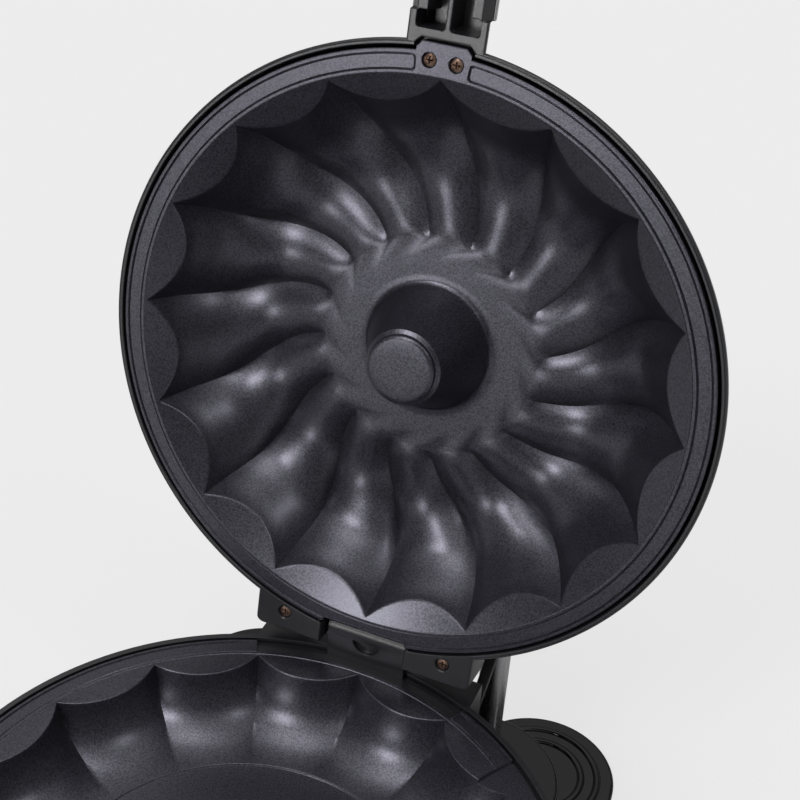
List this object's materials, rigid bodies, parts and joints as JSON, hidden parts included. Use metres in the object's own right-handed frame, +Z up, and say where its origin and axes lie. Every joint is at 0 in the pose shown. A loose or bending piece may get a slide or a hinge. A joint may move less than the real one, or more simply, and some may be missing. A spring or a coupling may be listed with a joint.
{
  "type": "electric pie maker",
  "caption": "Round pie and ring cake maker: scalloped bowl in the base, hinged lid with a swirled ring mould and core, front grips, latch, and rear feet with posts that the open lid leans on.",
  "frame": {"origin": "on the table plane, below the middle of the part's box", "axes": "+Z up, -Y towards the grips in front, +Y towards the hinge, +X to the right seen from the front"},
  "size_m": [0.311, 0.4688, 0.5174],
  "materials": {
    "coated_casting": "matt non-stick coating on cast aluminium",
    "satin_housing": "satin black moulded plastic",
    "gloss_black": "high gloss black moulded plastic",
    "polished_steel": "polished stainless steel tube",
    "black_steel": "black painted steel",
    "plain_steel": "plain steel",
    "bronzed_screw": "bronzed steel screw",
    "black_rubber": "moulded black rubber",
    "element_steel": "heat-tinted stainless sheath",
    "switch_body": "pale phenolic",
    "reflector_sheet": "bright aluminium sheet",
    "lamp_amber": "clear tinted lens"
  },
  "bodies": {
    "base": {"base_plate": "coated_casting", "base_housing": "satin_housing", "hinge_pin": "plain_steel", "base_heater": "element_steel", "base_thermostat": "switch_body", "base_reflector": "reflector_sheet", "bottom_cover": "black_steel", "cord_gland": "black_rubber", "front_feet": "black_rubber", "rear_foot_left": "gloss_black", "rear_foot_right": "gloss_black", "lid_post_left": "polished_steel", "lid_post_right": "polished_steel", "post_tip_left": "black_rubber", "post_tip_right": "black_rubber", "post_tie_left": "black_steel", "post_tie_right": "black_steel"},
    "lid": {"lid_plate": "coated_casting", "lid_housing": "satin_housing", "lid_handle_cover": "gloss_black", "lid_heater": "element_steel", "lid_thermostat": "switch_body", "lid_reflector": "reflector_sheet", "indicator_lenses": "lamp_amber", "lid_front_screws": "bronzed_screw", "lid_hinge_screws": "bronzed_screw", "latch_pin": "plain_steel"},
    "latch": {"latch": "gloss_black"}
  },
  "joints": [
    {"name": "lid_hinge", "type": "hinge", "parent": "base", "child": "lid", "pos_m": [0, 0.1356, 0.1209], "axis": [1, 0, 0], "range_deg": [0, 100.8]},
    {"name": "latch_pivot", "type": "hinge", "parent": "lid", "child": "latch", "pos_m": [0, 0.20216, 0.48742], "axis": [1, 0, 0], "range_deg": [0, 24]}
  ]
}
